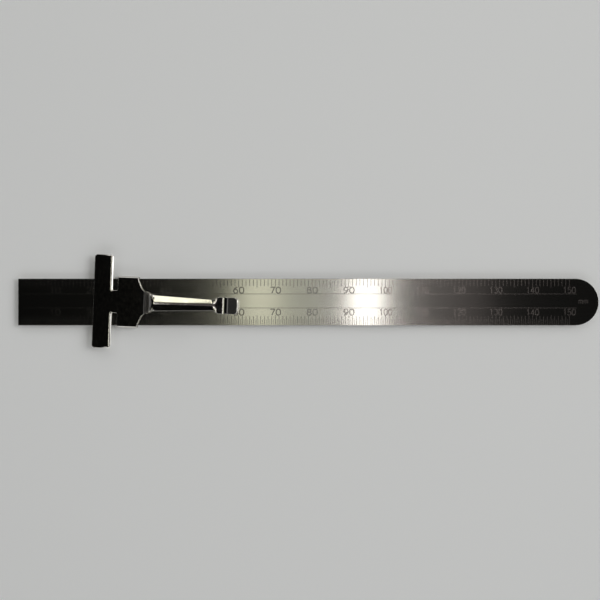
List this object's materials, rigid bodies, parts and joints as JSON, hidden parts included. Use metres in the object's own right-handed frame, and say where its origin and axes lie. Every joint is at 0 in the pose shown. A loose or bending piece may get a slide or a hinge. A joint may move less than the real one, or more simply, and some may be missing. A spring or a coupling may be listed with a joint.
{
  "type": "pocket rule marking gauge",
  "caption": "Flat pocket rule with a round end and a T-shaped head that slides along it, held by a spring tongue that is also the pocket clip.",
  "frame": {"origin": "centre of the rule's square zero end, halfway through the blade's thickness", "axes": "+X along the scale from zero to the round end, +Y across the blade, +Z out of the graduated face"},
  "size_m": [0.158, 0.0255, 0.0057],
  "materials": {
    "rule_steel": "satin stainless steel, fine grain along the blade",
    "head_plating": "bright nickel plating over stamped steel, rounded edges",
    "etched_marks": "photo-etched graduations and numbers, matte dark grey"
  },
  "bodies": {
    "rule": {"rule_blade": "rule_steel"},
    "head": {"slide_body": "head_plating"},
    "tongue": {"clip_tongue": "head_plating"}
  },
  "joints": [
    {"name": "head_slide", "type": "slide", "parent": "rule", "child": "head", "axis": [1, 0, 0], "range_m": [-0.0206, 0.1]},
    {"name": "tongue_flex", "type": "hinge", "parent": "head", "child": "tongue", "pos_m": [0.03459, -0.00018, 0.00065], "axis": [-0.0384, -0.9993, 0], "range_deg": [0, 7], "stiffness_Nm_per_rad": 1.6}
  ]
}
